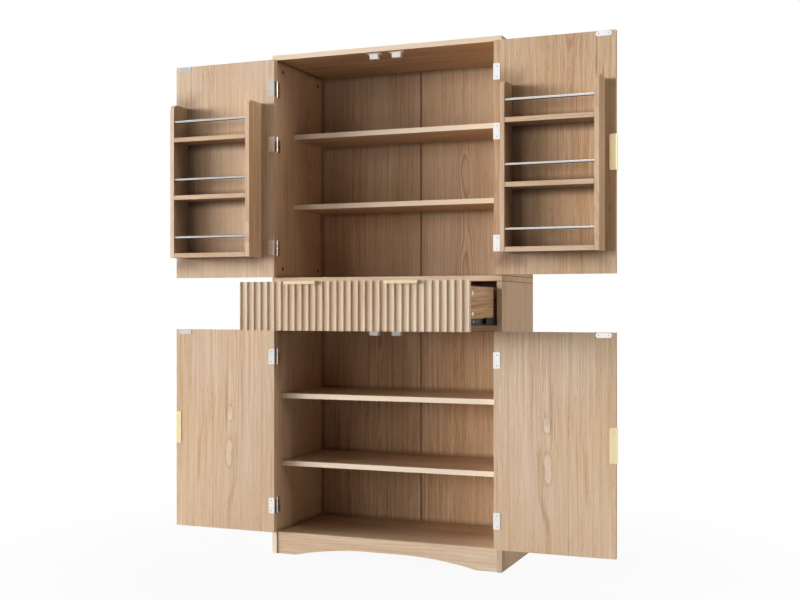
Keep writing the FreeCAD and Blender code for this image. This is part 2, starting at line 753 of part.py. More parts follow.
def add_drawer(slide_inner, slide_inner_screws):
    """Drawer box, its fluted front, pulls and fasteners, pulled out along the slides."""
    outer_x = side_in - slide_space
    inner_x = outer_x - drawer_wall
    y0 = door_thick
    y1 = board_rear - drawer_rear_gap
    z0 = deck_top + drawer_lift
    z1 = z0 + drawer_side_height
    floor_z = z0 + drawer_bottom_lift
    front_z0 = deck_bottom + front_bottom_gap
    front_z1 = counter_bottom - front_top_gap
    front_half = side_in - front_side_gap

    groove_x = inner_x + drawer_groove
    groove = box(
        -groove_x, groove_x, y0 - drawer_groove, y1 - drawer_wall + drawer_groove,
        floor_z - groove_fit, floor_z + drawer_bottom_thick + groove_fit,
    )
    reach = drawer_groove - groove_fit
    bottom = box(
        -inner_x - reach, inner_x + reach, y0 - reach, y1 - drawer_wall + reach,
        floor_z, floor_z + drawer_bottom_thick,
    )
    front = fluted_panel(-front_half, front_half, front_z0, front_z1)
    side = plank(inner_x, outer_x, y0, y1, z0, z1)
    back = plank(-inner_x, inner_x, y1 - drawer_wall, y1, z0, z1)

    fasteners = list(slide_inner_screws)
    for lift in drawer_cam_lifts:
        face = V(outer_x, y0 + drawer_cam_setting, z0 + lift)
        cam, bolt, side_cuts, front_cuts = cam_set(
            face, V(-1, 0, 0), V(0, -1, 0), drawer_cam_setting, drawer_cam_depth, drawer_wall / 2
        )
        fasteners += [cam, bolt]
        take_out("drawer_right_side", *side_cuts)
        take_out("drawer_front", *both(front_cuts))
    for lift in back_screw_lifts:
        head = V(outer_x, y1 - drawer_wall / 2, z0 + lift)
        hole = screw_hole(head, V(-1, 0, 0), back_screw_length)
        fasteners.append(screw(head, V(-1, 0, 0), back_screw_length))
        take_out("drawer_right_side", hole)
        take_out("drawer_back", *both([hole]))
    pull, pull_screws, pull_holes = edge_pull()
    for piece in [pull] + pull_screws + pull_holes:
        piece.rotate(V(0, 0, 0), V(0, 1, 0), 90)
        piece.translate(V(drawer_pull_offset, 0, front_z1))
    fasteners += pull_screws
    take_out("drawer_front", *both(pull_holes))

    take_out("drawer_right_side", groove)
    take_out("drawer_front", groove)
    take_out("drawer_back", groove)
    right = bored("drawer_right_side", side)
    pieces = {
        "drawer_front": [bored("drawer_front", front)],
        "drawer_right_side": [right],
        "drawer_left_side": [mirrored(right)],
        "drawer_back": [bored("drawer_back", back)],
        "drawer_bottom": [bottom],
        "drawer_pulls": both([pull]),
        "slide_inner_members": both([slide_inner]),
        "drawer_fasteners": both(fasteners),
    }
    for name, solids in pieces.items():
        for solid in solids:
            solid.translate(V(0, -drawer_out, 0))
        nodes[name] = solids


def build():
    """Make every piece, then bore the boards for what passes into them."""
    boards = add_carcass_boards()
    add_kick_board()
    add_back_panels()
    add_shelves()
    add_cams()
    frame_screws = add_doors()
    frame_screws += add_catches()
    slide_screws_fixed, slide_inner, slide_inner_screws = add_slides()
    frame_screws += slide_screws_fixed
    add_drawer(slide_inner, slide_inner_screws)
    nodes["frame_screws"] = both(frame_screws)
    for name, shape in boards.items():
        nodes[name] = bored(name, shape)
        if "right_side" in name:
            nodes[name.replace("right", "left")] = mirrored(nodes[name])


def write_steps():
    """Move the origin to the middle of the footprint and write one file per node."""
    os.makedirs("parts", exist_ok=True)
    for name in sorted(nodes):
        shape = nodes[name]
        solids = shape if isinstance(shape, list) else [shape]
        solids = [s for shape in solids for s in shape.Solids]
        group = Part.makeCompound(solids) if len(solids) > 1 else solids[0]
        group.translate(V(0, -footprint_middle, 0))
        group.exportStep(f"parts/{name}.step")
        bounds = group.BoundBox
        print(
            f"{name}: {len(solids)} solids, x {bounds.XMin:.1f}..{bounds.XMax:.1f}, "
            f"y {bounds.YMin:.1f}..{bounds.YMax:.1f}, z {bounds.ZMin:.1f}..{bounds.ZMax:.1f}, "
            f"valid {all(s.isValid() for s in solids)}"
        )
    print(len(nodes), "nodes")


build()
write_steps()
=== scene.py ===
# %% [markdown]
# A tall kitchen hutch: two cupboards one over the other, a fluted drawer between them, and racks on
# the upper doors.  The boards, hinges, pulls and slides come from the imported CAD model, so their
# places are right already.  This lesson gives them their looks: oak veneer that runs the right way on
# every board, plated metal, satin gold, black slides and white plastic, with soft studio light.

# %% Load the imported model
import json
import math

import bpy
import numpy as np
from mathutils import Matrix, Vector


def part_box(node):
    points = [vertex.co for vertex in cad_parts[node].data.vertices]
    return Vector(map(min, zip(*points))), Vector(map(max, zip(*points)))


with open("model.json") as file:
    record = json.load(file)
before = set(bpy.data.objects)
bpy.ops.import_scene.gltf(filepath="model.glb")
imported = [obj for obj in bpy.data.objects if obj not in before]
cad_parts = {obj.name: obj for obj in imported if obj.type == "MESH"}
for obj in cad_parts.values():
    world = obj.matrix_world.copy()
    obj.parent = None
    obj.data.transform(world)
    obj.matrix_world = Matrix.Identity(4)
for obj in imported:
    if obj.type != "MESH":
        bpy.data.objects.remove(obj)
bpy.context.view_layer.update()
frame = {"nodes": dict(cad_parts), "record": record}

# %% [markdown]
# The camera comes first, because every later choice is compared through it.  It stands a little over
# waist height, right of the middle, and looks level, so that upright edges stay upright in the
# picture.  The small shift lowers the picture without tilting the camera.

# %% Camera
camera_data = bpy.data.cameras.new("photo_camera")
camera = bpy.data.objects.new("photo_camera", camera_data)
bpy.context.scene.collection.objects.link(camera)
camera.location = (1.535, -3.786, 0.887)
camera.rotation_euler = (math.radians(90), 0, math.radians(21.5))
camera_data.sensor_width = 36.0
camera_data.lens = 52.1
camera_data.shift_y = 0.0099
bpy.context.scene.camera = camera
print("camera at", tuple(round(v, 3) for v in camera.location))

# %% [markdown]
# Shader graphs are long to write out link by link.  This helper adds one node for each call and gives
# back its output, so a graph reads like a sum.  An input may be a number, a colour or another output.


# %% Shader graph helper
class Graph:
    """One node tree, with a method for each kind of node that the finishes use."""

    def __init__(self, tree):
        self.tree = tree

    def node(self, kind, output=0, **inputs):
        """Add a node, fill its inputs by name, and return one of its outputs."""
        made = self.tree.nodes.new("ShaderNode" + kind)
        for name, value in inputs.items():
            self.fill(made.inputs[name.replace("_", " ")], value)
        return made.outputs[output]

    def fill(self, socket, value):
        """Link an output to an input, or write a plain value on it."""
        if isinstance(value, bpy.types.NodeSocket):
            self.tree.links.new(value, socket)
        else:
            socket.default_value = value

    def math(self, operation, *values, clamp=False):
        """One sum on numbers."""
        made = self.tree.nodes.new("ShaderNodeMath")
        made.operation = operation
        made.use_clamp = clamp
        for socket, value in zip(made.inputs, values):
            self.fill(socket, value)
        return made.outputs[0]

    def vector(self, operation, *values):
        """One sum on vectors."""
        made = self.tree.nodes.new("ShaderNodeVectorMath")
        made.operation = operation
        for socket, value in zip(made.inputs, values):
            self.fill(socket, value)
        return made.outputs[0]

    def noise(self, place, stretch, detail=2.0, rough=0.5):
        """Cloudy pattern from 0 to 1, with so many lumps to the metre in X, Y and Z."""
        stretched = self.vector("MULTIPLY", place, stretch)
        return self.node("TexNoise", Vector=stretched, Scale=1.0, Detail=detail, Roughness=rough)

    def ease(self, value, low, high):
        """Smooth step from 0 at low to 1 at high."""
        made = self.tree.nodes.new("ShaderNodeMapRange")
        made.interpolation_type = "SMOOTHSTEP"
        for name, given in (("Value", value), ("From Min", low), ("From Max", high)):
            self.fill(made.inputs[name], given)
        return made.outputs[0]

    def mix(self, share, first, second, how="MIX"):
        """Mix two colours."""
        made = self.tree.nodes.new("ShaderNodeMix")
        made.data_type = "RGBA"
        made.blend_type = how
        for index, given in ((0, share), (6, first), (7, second)):
            self.fill(made.inputs[index], given)
        return made.outputs[2]

    def ramp(self, share, *stops):
        """Colour ramp through stops of (place, colour)."""
        made = self.tree.nodes.new("ShaderNodeValToRGB")
        elements = made.color_ramp.elements
        while len(elements) < len(stops):
            elements.new(0.5)
        for element, (place, colour) in zip(elements, stops):
            element.position = place
            element.color = (*colour, 1.0)
        self.fill(made.inputs[0], share)
        return made.outputs[0]


def node_group(name, inputs, outputs):
    """New shader group with named inputs (kind, default) and outputs; gives its graph and its sockets."""
    tree = bpy.data.node_groups.new(name, "ShaderNodeTree")
    for label, (kind, default) in inputs.items():
        socket = tree.interface.new_socket(label, in_out="INPUT", socket_type="NodeSocket" + kind)
        if default is not None:
            socket.default_value = default
    for label, kind in outputs.items():
        tree.interface.new_socket(label, in_out="OUTPUT", socket_type="NodeSocket" + kind)
    way_in = tree.nodes.new("NodeGroupInput")
    way_out = tree.nodes.new("NodeGroupOutput")
    return Graph(tree), way_in.outputs, way_out.inputs


def place_group(graph, tree, **inputs):
    """Put a group into a material and return its outputs by name."""
    made = graph.tree.nodes.new("ShaderNodeGroup")
    made.node_tree = tree
    for name, value in inputs.items():
        graph.fill(made.inputs[name], value)
    return made.outputs


def new_material(name):
    """Empty material with a Principled shader; gives the material, its graph and the shader's inputs."""
    material = bpy.data.materials.new(name)
    material.use_nodes = True
    graph = Graph(material.node_tree)
    shader = next(n for n in material.node_tree.nodes if n.type == "BSDF_PRINCIPLED")
    return material, graph, shader.inputs


print("graph helper ready")

# %% [markdown]
# Oak veneer is sliced from a log, so its figure is the log's growth rings cut by the face of the
# board.  Near the heart line the cut runs along the rings and makes long pointed arches and closed
# ovals, and away from it the rings become straight stripes.  The group below works that out: the
# distance from the heart line gives the ring, and slow noise along the grain, which stands for the
# uneven growth of the log, closes some rings into ovals.  Straight streaks, fine fibres, short dark
# pores and a few small knots lie on top.  On some boards the heart line also carries two pale islands
# with a brown outline, and a red-brown stain beside them.  A board may be mixed towards a pale buff, and
# the end of a board that meets another shows a thin dark seam.

# %% Oak veneer group
ring_width = 0.0055
grain_wander = 0.035
heart_wander = 0.05
ring_bends = (((2.0, 2.0, 2.4), 0.036), ((9.0, 9.0, 3.5), 0.016), ((40.0, 40.0, 9.0), 0.005))
knot_bend = 0.02
seam_thick = 0.0024
island_places = ((0.059, 0.026, 0.0095), (-0.085, 0.048, 0.0115))
stain_aside = 0.027
stain_half = 0.014
ring_brown = (0.450, 0.250, 0.132, 1.0)
pale_buff = (0.70, 0.60, 0.50, 1.0)
seam_brown = (0.050, 0.028, 0.016, 1.0)
orange_tint = (1.0, 0.955, 0.885, 1.0)


def oak_group():
    """Oak figure in a board's own space: grain along Z, face across X, thickness along Y, in metres."""
    graph, given, out = node_group(
        "oak_veneer",
        {
            "Place": ("Vector", None),
            "Seed": ("Float", 0.0),
            "Heart": ("Float", 0.0),
            "Depth": ("Float", 0.03),
            "Figure": ("Float", 1.0),
            "Islands": ("Float", 0.0),
            "Fade": ("Float", 0.0),
            "Tone": ("Float", 0.0),
            "Half": ("Float", 1.0),
            "Seam": ("Float", 0.0),
        },
        {"Colour": "Color", "Roughness": "Float", "Height": "Float"},
    )
    shift = graph.vector("SCALE", (3.1, 1.7, 7.3))
    graph.tree.links.new(given["Seed"], shift.node.inputs["Scale"])
    place = graph.vector("ADD", given["Place"], shift)
    apart = graph.node("SeparateXYZ", Vector=given["Place"]).node.outputs

    def around_zero(stretch, detail=1.0, rough=0.5, where=place):
        """Noise moved to lie about zero."""
        return graph.math("SUBTRACT", graph.noise(where, stretch, detail, rough), 0.5)

    # The grain wanders a little from side to side as it runs along the board
    wander = around_zero((1.6, 1.6, 1.1))
    sideways = graph.node("CombineXYZ", X=graph.math("MULTIPLY", wander, grain_wander))
    grain = graph.vector("ADD", place, sideways)

    # Knots: the middle of some cells of a stretched cell pattern
    cells = graph.vector("MULTIPLY", grain, (3.2, 3.2, 1.2))
    cell = graph.node("TexVoronoi", Vector=cells, Scale=1.0).node.outputs
    chosen = graph.math("GREATER_THAN", graph.node("SeparateColor", Color=cell["Color"]), 0.62)
    knot = graph.math("MULTIPLY", graph.ease(cell["Distance"], 0.050, 0.010), chosen)
    round_knot = graph.math("MULTIPLY", graph.ease(cell["Distance"], 0.26, 0.02), chosen)

    # Rings: distance from the heart line, bent by the uneven growth of the log and by the knots
    across = graph.math("SUBTRACT", apart["X"], given["Heart"])
    across = graph.math("MULTIPLY_ADD", wander, heart_wander, across)
    deep = graph.math("MULTIPLY", given["Depth"], given["Depth"])
    radius = graph.math("SQRT", graph.math("MULTIPLY_ADD", across, across, deep))
    for stretch, reach in ring_bends:
        radius = graph.math("MULTIPLY_ADD", around_zero(stretch), reach, radius)
    radius = graph.math("MULTIPLY_ADD", round_knot, knot_bend, radius)
    late = graph.math("FRACT", graph.math("DIVIDE", radius, ring_width))
    line = graph.math("MULTIPLY", graph.ease(late, 0.35, 0.90), graph.ease(late, 1.0, 0.93))
    beside = graph.math("ABSOLUTE", across)
    near = graph.ease(beside, 0.110, 0.015)
    patches = graph.ease(graph.noise(place, (6.0, 6.0, 2.0)), 0.36, 0.58)
    share = graph.math("MULTIPLY", graph.math("MULTIPLY_ADD", near, 0.85, 0.15), patches)
    line = graph.math("MULTIPLY", graph.math("MULTIPLY", line, share), given["Figure"])

    # Pale islands on the heart line, each with a brown outline: a height, half its length, half its width
    ragged = graph.math("MULTIPLY_ADD", around_zero((90.0, 90.0, 40.0), 2.0), 0.010, across)
    island, outline = 0.0, 0.0
    for height, half_long, half_wide in island_places:
        up = graph.math("DIVIDE", graph.math("SUBTRACT", apart["Z"], height), half_long)
        aside = graph.math("DIVIDE", ragged, half_wide)
        inside = graph.math("POWER", graph.math("ABSOLUTE", up), 4.0)
        inside = graph.math("MULTIPLY_ADD", aside, aside, inside)
        island = graph.math("MAXIMUM", island, graph.ease(inside, 1.20, 0.70))
        rim = graph.math("MULTIPLY", graph.ease(inside, 3.6, 1.3), graph.ease(inside, 0.7, 1.2))
        outline = graph.math("MAXIMUM", outline, rim)
    island = graph.math("MULTIPLY", island, given["Islands"])
    outline = graph.math("MULTIPLY", outline, given["Islands"])

    # A red-brown stain starts beside the lower island and comes back to the heart line under it
    bend = graph.math("MULTIPLY", graph.ease(apart["Z"], -0.30, -0.17), stain_aside)
    off_stain = graph.math("ABSOLUTE", graph.math("ADD", ragged, bend))
    stain = graph.math("MULTIPLY", graph.ease(off_stain, stain_half, 0.003), given["Islands"])
    stain = graph.math("MULTIPLY", stain, graph.ease(apart["Z"], 0.02, -0.05))
    worn = graph.ease(graph.noise(grain, (120.0, 120.0, 9.0)), 0.30, 0.62)
    stain = graph.math("MULTIPLY", stain, graph.math("MULTIPLY_ADD", worn, 0.6, 0.4))

    # Streaks, sparse dark and pale lines, fibres, pores and slow changes of colour
    broad = around_zero((3.0, 3.0, 1.8), 2.0)
    band = around_zero((12.0, 12.0, 0.7), 1.0, 0.5, grain)
    streak = around_zero((42.0, 42.0, 1.3), 3.0, 0.6, grain)
    middle_line = around_zero((110.0, 110.0, 3.0), 1.0, 0.5, grain)
    thin_line = around_zero((280.0, 280.0, 5.0), 1.0, 0.5, grain)
    long_line = around_zero((200.0, 200.0, 1.3), 1.0, 0.5, grain)
    fibre = around_zero((650.0, 650.0, 14.0), 1.0, 0.5, grain)
    busy = graph.ease(graph.noise(grain, (9.0, 9.0, 1.2)), 0.32, 0.62)
    broken = graph.ease(graph.noise(grain, (45.0, 45.0, 7.0)), 0.40, 0.58)
    dark_line = graph.ease(graph.noise(grain, (150.0, 150.0, 2.6), 2.0, 0.6), 0.56, 0.72)
    dark_line = graph.math("MULTIPLY", dark_line, broken)
    pale_line = graph.ease(graph.noise(grain, (125.0, 125.0, 1.7), 2.0, 0.6), 0.57, 0.74)
    dash = graph.ease(graph.noise(grain, (300.0, 300.0, 26.0), 1.0), 0.58, 0.74)
    pore = graph.ease(graph.noise(grain, (900.0, 900.0, 30.0), 1.0), 0.60, 0.70)

    tone = graph.math("ADD", given["Tone"], 0.5)
    lively = graph.math("MULTIPLY_ADD", busy, 0.7, 0.5)
    shares = (
        (graph.math("MULTIPLY", thin_line, lively), 0.70),
        (graph.math("MULTIPLY", middle_line, lively), 0.34),
        (graph.math("MULTIPLY", long_line, lively), 0.40),
        (graph.math("MULTIPLY", dark_line, lively), -0.24),
        (dash, -0.20),
        (pale_line, 0.12),
        (streak, 0.30),
        (band, 0.22),
        (broad, 0.46),
        (fibre, 0.30),
        (pore, -0.10),
        (knot, -0.35),
        (round_knot, -0.05),
        (island, 0.26),
        (outline, -0.20),
    )
    for pattern, strength in shares:
        tone = graph.math("MULTIPLY_ADD", pattern, strength, tone)
    colour = graph.ramp(
        tone,
        (0.0, (0.345, 0.180, 0.088)),
        (0.25, (0.494, 0.314, 0.182)),
        (0.50, (0.612, 0.438, 0.298)),
        (0.75, (0.694, 0.542, 0.400)),
        (1.0, (0.770, 0.645, 0.510)),
    )

    # Some lines are pinker and some more yellow, some areas are more orange, and ring lines are red-brown
    blush = graph.ease(graph.noise(grain, (60.0, 60.0, 1.2), 1.0), 0.30, 0.70)
    tint = graph.ramp(blush, (0.0, (1.0, 1.0, 0.965)), (1.0, (1.0, 0.970, 0.985)))
    colour = graph.mix(1.0, colour, tint, "MULTIPLY")
    warm = graph.ease(graph.noise(place, (5.0, 5.0, 2.2), 2.0), 0.45, 0.70)
    colour = graph.mix(warm, colour, graph.mix(1.0, colour, orange_tint, "MULTIPLY"))
    colour = graph.mix(graph.math("MULTIPLY", line, 0.75), colour, ring_brown)
    colour = graph.mix(graph.math("MULTIPLY", stain, 0.70), colour, ring_brown)
    colour = graph.mix(given["Fade"], colour, pale_buff)

    # The seam at both ends, and a gloss and a relief that follow the figure
    end = graph.math("SUBTRACT", given["Half"], graph.math("ABSOLUTE", apart["Z"]))
    seam = graph.math("MULTIPLY", graph.ease(end, seam_thick, seam_thick / 2), given["Seam"])
    colour = graph.mix(seam, colour, seam_brown)
    graph.fill(out["Colour"], colour)
    rough = graph.math("MULTIPLY_ADD", tone, -0.12, 0.62)
    graph.fill(out["Roughness"], graph.math("MULTIPLY_ADD", pore, 0.15, rough))
    graph.fill(out["Height"], graph.math("SUBTRACT", graph.math("MULTIPLY", fibre, 0.35), pore))
    return graph.tree


oak_veneer = oak_group()
print("oak veneer nodes", len(oak_veneer.nodes))

# %% [markdown]
# Every board is cut with its grain along its length, so the same figure has to be laid five ways: on
# upright boards that face the front or the side, on flat boards, and on lying boards that face the
# front or the side.  A Mapping node turns the board's own space, and moves its origin to the middle of
# the board, so that the heart line can be placed on it; a mirrored board turns its figure round, because
# the two doors of a pair are book-matched.  The front edge of a board carries a glued-on band of paler
# veneer, which is a thin slice in front of a given depth.  The walls of the flutes that face right get
# their light from the wood beside them, so a painted warm bounce light may tint them a little warmer.

# %% Oak board material
lays = {
    "upright_front": (0, 0, 0),
    "upright_side": (0, 0, -90),
    "flat": (-90, -90, 0),
    "lying_front": (0, -90, 0),
    "lying_side": (90, 0, 90),
}
band_thick = 0.0009
band_colour = (0.900, 0.755, 0.600, 1.0)
shade_colour = (0.060, 0.030, 0.014, 1.0)
dim_share = 0.55
painted_bounce_tint = (1.0, 0.86, 0.74, 1.0)
oak_gloss = 0.08


def turn_matrix(degrees):
    """Rotation about X, then Y, then Z, as the Mapping node applies it."""
    a, b, c = np.radians(degrees)
    about_x = np.array([[1, 0, 0], [0, np.cos(a), -np.sin(a)], [0, np.sin(a), np.cos(a)]])
    about_y = np.array([[np.cos(b), 0, np.sin(b)], [0, 1, 0], [-np.sin(b), 0, np.cos(b)]])
    about_z = np.array([[np.cos(c), -np.sin(c), 0], [np.sin(c), np.cos(c), 0], [0, 0, 1]])
    return about_z @ about_y @ about_x


def oak_board(name, lay, seed, heart, depth, tone, figure=1.0, islands=0.0, fade=0.0, band=None, seam=0.0,
              mirror=1, shades=(), dim=None, painted_bounce=0.0):
    """Material of one board: the oak figure, laid along it, with a paler band on its front edge."""
    low, high = (np.array(corner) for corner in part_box(name))
    middle = (low + high) / 2
    turned = lays[lay]
    matrix = turn_matrix(turned)
    half = float(abs(matrix @ (high - low))[2]) / 2
    material, graph, shader = new_material("oak_" + name)
    object_place = graph.node("TexCoord", "Object")
    mapped = graph.node("Mapping", Vector=object_place)
    mapped.node.inputs["Rotation"].default_value = tuple(np.radians(turned))
    mapped.node.inputs["Scale"].default_value = (mirror, 1.0, 1.0)
    mapped.node.inputs["Location"].default_value = tuple(-matrix @ (middle * (mirror, 1.0, 1.0)))
    look = place_group(
        graph, oak_veneer, Place=mapped, Seed=seed, Heart=heart, Depth=depth, Tone=tone, Figure=figure,
        Islands=islands, Fade=fade, Half=half, Seam=seam,
    )
    colour = look["Colour"]
    if band is not None:
        front = graph.node("SeparateXYZ", "Y", Vector=object_place)
        edge = graph.math("LESS_THAN", front, float(low[1]) + band_thick)
        colour = graph.mix(graph.math("MULTIPLY", edge, band), colour, band_colour)
    for boxes, face, reach, strength in shades:
        shade = corner_shade(graph, object_place, name, boxes, face, reach)
        colour = graph.mix(graph.math("MULTIPLY", shade, strength), colour, shade_colour)
    # Painted shade on the faces that the dim mask picks.
    if dim is not None:
        dimmed = graph.math("MULTIPLY", dim(graph, object_place), dim_share)
        colour = graph.mix(dimmed, colour, shade_colour)
    # Painted bounce light: faces that look right get a warmer colour.
    if painted_bounce:
        aside = graph.node("SeparateXYZ", "X", Vector=graph.node("TexCoord", "Normal"))
        share = graph.math("MULTIPLY", graph.ease(aside, 0.0, 0.5), painted_bounce)
        colour = graph.mix(share, colour, graph.mix(1.0, colour, painted_bounce_tint, "MULTIPLY"))
    graph.fill(shader["Base Color"], colour)
    graph.fill(shader["Roughness"], look["Roughness"])
    shader["Specular IOR Level"].default_value = oak_gloss
    bump = graph.node("Bump", Height=look["Height"], Strength=0.25, Distance=0.0004)
    graph.fill(shader["Normal"], bump)
    return material


print("ways to lay the grain", len(lays))

# %% [markdown]
# Little light gets into a corner, so the faces inside the cabinets have a soft brown shade beside the
# boards that they meet.  A box gives the span of such a board along one axis or more, and the shade falls
# off with the distance from the nearest box.  The door racks have a deeper shade: on the door around each
# shelf and beside the left upright, on the undersides of the shelves, and on the left upright's inside.

# %% Shade where boards meet
cabinets = {"upper": ("base_top", "top_panel"), "lower": ("bottom_panel", "drawer_deck")}
face_thick = 0.0006
rack_board = 0.016
rack_tiers = 3
shade_reach, shade_depth = 0.020, 0.42
rack_shade_reach = 0.010
shelf_shade = (0.035, 0.70)
upright_shade = (0.080, 0.45)
bottom_shade = (0.065, 0.40)


def span(node, axis):
    """Lowest and highest place of a node along one axis."""
    return tuple(corner["XYZ".index(axis)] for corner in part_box(node))


def slab(node, axis):
    """Box that is bounded along one axis only, by the span of a node."""
    return ((axis, span(node, axis)),)


def corner_shade(graph, place, node, boxes, face, reach):
    """Mask that rises to 1 on one face of a board towards the boards that it meets.

    A box is the span of such a board along one axis or more.  The distance to it is how far a point
    lies outside those spans, and the nearest box counts.  The face is an axis and 0 for its low side,
    1 for its high side; without one, all faces count.
    """
    parts = graph.node("SeparateXYZ", Vector=place).node.outputs
    near = None
    for box in boxes:
        outside = None
        for axis, (low, high) in box:
            away = graph.math("ABSOLUTE", graph.math("SUBTRACT", parts[axis], (low + high) / 2))
            away = graph.math("SUBTRACT", away, (high - low) / 2)
            outside = away if outside is None else graph.math("MAXIMUM", outside, away)
        near = outside if near is None else graph.math("MINIMUM", near, outside)
    shade = graph.ease(near, reach, 0.0)
    if face is None:
        return shade
    axis, end = face
    on_face = graph.math("COMPARE", parts[axis], span(node, axis)[end], face_thick)
    return graph.math("MULTIPLY", shade, on_face)


def facing_down(graph, place):
    """1 on faces that look down."""
    up = graph.node("SeparateXYZ", "Z", Vector=graph.node("TexCoord", "Normal"))
    return graph.math("LESS_THAN", up, -0.5)


def inside_left_upright(side):
    """Mask of the inner face of a rack's left upright."""
    inner = span(f"{side}_rack_sides", "X")[0] + rack_board

    def mask(graph, place):
        return graph.math("COMPARE", graph.node("SeparateXYZ", "X", Vector=place), inner, face_thick)

    return mask


shades = {}
for tier, (floor_board, roof_board) in cabinets.items():
    shelves = (f"{tier}_shelf_1", f"{tier}_shelf_2")
    level = [slab(node, "Z") for node in (floor_board, roof_board)]
    if tier == "lower":
        # Painted shade over the whole drawer bay of the lower cabinet, which lies deep in shadow.
        level.append((("Z", (span("drawer_deck", "Z")[0], span("base_top", "Z")[1])),))
    middle = [slab(node, "Z") for node in shelves]
    behind = [slab(f"{tier}_back_left", "Y")]
    walls = [slab(f"{tier}_{side}_side", "X") for side in ("left", "right")]
    for side, inner in (("left", 1), ("right", 0)):
        shades[f"{tier}_back_{side}"] = [(walls + level + middle, ("Y", 0), shade_reach, shade_depth)]
        shades[f"{tier}_{side}_side"] = [(behind + level, ("X", inner), shade_reach, shade_depth)]
    for node, end in ((floor_board, 1), (roof_board, 0), (shelves[0], 1), (shelves[1], 1)):
        shades[node] = [(behind + walls, ("Z", end), shade_reach, shade_depth)]
for side in ("left", "right"):
    low, high = span(f"{side}_rack_sides", "X")
    bottom, top = span(f"{side}_rack_sides", "Z")
    first, last = span(f"{side}_rack_shelves", "Z")
    pitch = (last - first - rack_board) / (rack_tiers - 1)
    heights = [first + number * pitch for number in range(rack_tiers)]
    shelf_span = ("X", (low, high - shelf_shade[0]))
    rack_shelf = [(shelf_span, ("Z", (height, height + rack_board))) for height in heights]
    upright = [(("X", (low, low + rack_board)), ("Z", (bottom, top)))]
    door = [slab(f"upper_{side}_door", "Y")]
    shades[f"{side}_rack_sides"] = [(door, None, rack_shade_reach, shade_depth)]
    shades[f"{side}_rack_shelves"] = [(door, None, shade_reach, shade_depth)]
    shades[f"upper_{side}_door"] = [
        (rack_shelf[:1], ("Y", 0), *bottom_shade),
        (rack_shelf[1:], ("Y", 0), *shelf_shade),
        (upright, ("Y", 0), *upright_shade),
    ]
print("shaded boards", len(shades))

# %% [markdown]
# The table gives each board its own look.  Where it says nothing, a seeded random draw sets the place of
# the heart line, its depth under the face and a slight change of tone, so that no two boards are alike.
# The tones, fades and bands that it gives were set board by board to match how bright each board looks
# in this light, so they are partly painted light and shade on boards of the same oak.


# %% Table of boards
def paint(node, material):
    """Give every material slot of a CAD node the same material."""
    piece = frame["nodes"][node]
    if not piece.material_slots:
        piece.data.materials.append(material)
    for slot in piece.material_slots:
        slot.material = material


upper_door = dict(lay="upright_front", seed=19.0, heart=0.06)
lower_door = dict(lay="upright_front", seed=21.0, heart=-0.018, depth=0.030, figure=0.45)
drawer_side = dict(lay="lying_side", figure=0.1, tone=-0.20)
# Tone, fade and band here are partly painted light and shade, set to each board's brightness in this
# light.
boards = {
    "top_panel": dict(lay="flat", band=0.70, tone=-0.11),
    "base_top": dict(lay="flat", band=0.20),
    "drawer_deck": dict(lay="flat", band=0.20, tone=-0.06),
    "bottom_panel": dict(lay="flat", tone=0.06),
    "kick_board": dict(lay="lying_front", tone=0.24, figure=0.4, fade=0.12, seam=0.25),
    "upper_shelf_1": dict(lay="flat", band=1.0),
    "upper_shelf_2": dict(lay="flat", band=0.8),
    "lower_shelf_1": dict(lay="flat", band=1.0),
    "lower_shelf_2": dict(lay="flat", band=1.0),
    "upper_left_side": dict(lay="upright_side", band=1.0, tone=0.12, fade=0.12, seam=0.9),
    "upper_right_side": dict(lay="upright_side", band=0.15, tone=-0.03, seam=0.9),
    "lower_left_side": dict(lay="upright_side", band=1.0, tone=0.07, fade=0.12, seam=0.9),
    "lower_right_side": dict(lay="upright_side", band=0.0, tone=-0.06, fade=0.30, seam=0.9),
    "upper_back_left": dict(lay="upright_front", tone=0.15),
    "upper_back_right": dict(lay="upright_front", tone=0.15),
    "lower_back_left": dict(lay="upright_front", tone=-0.03),
    "lower_back_right": dict(lay="upright_front", tone=-0.03),
    "upper_left_door": dict(upper_door, tone=0.03, fade=0.24, mirror=-1),
    "upper_right_door": dict(upper_door, tone=-0.04, fade=0.06),
    "lower_left_door": dict(lower_door, tone=0.02, islands=0.9, fade=0.16, mirror=-1),
    "lower_right_door": dict(lower_door, tone=0.15, islands=1.0, fade=0.08),
    "left_rack_sides": dict(lay="upright_side", band=0.15, tone=0.20, dim=inside_left_upright("left")),
    "right_rack_sides": dict(lay="upright_side", band=0.15, dim=inside_left_upright("right")),
    "left_rack_shelves": dict(lay="flat", band=0.15, seam=0.6, dim=facing_down),
    "right_rack_shelves": dict(lay="flat", band=0.15, seam=0.6, dim=facing_down),
    "drawer_front": dict(lay="upright_front", figure=0.5, tone=0.30, fade=0.32, painted_bounce=1.0),
    "drawer_left_side": drawer_side,
    "drawer_right_side": drawer_side,
    "drawer_back": dict(lay="lying_front"),
    "drawer_bottom": dict(lay="flat"),
}
draw = np.random.default_rng(11)
for number, (node, given) in enumerate(boards.items()):
    heart = float(draw.uniform(-0.12, 0.12))
    depth = float(draw.uniform(0.020, 0.045))
    tone = float(draw.uniform(-0.03, 0.03))
    look = dict(seed=float(number + 1), heart=heart, depth=depth, tone=tone)
    look.update(given)
    paint(node, oak_board(node, shades=shades.get(node, ()), **look))
print("oak boards", len(boards))

# %% [markdown]
# The metal parts are plated.  Plating is never quite even: rolled sheet shows faint lines along one
# direction, and handling leaves soft clouds in the gloss.  One group gives both as a value from 0 to 1,
# and each metal uses it for its own roughness and a slight change of colour.

# %% Plated metal
along_x, along_y, along_z = (30.0, 900.0, 900.0), (900.0, 30.0, 900.0), (900.0, 900.0, 30.0)
rough_change = 0.12
pale_share, deep_share = 1.08, 0.90
underside_shade_from, underside_shade_to = -0.80, -0.45
gold_colour = (0.85, 0.72, 0.44)
zinc_colour = (0.70, 0.70, 0.71)


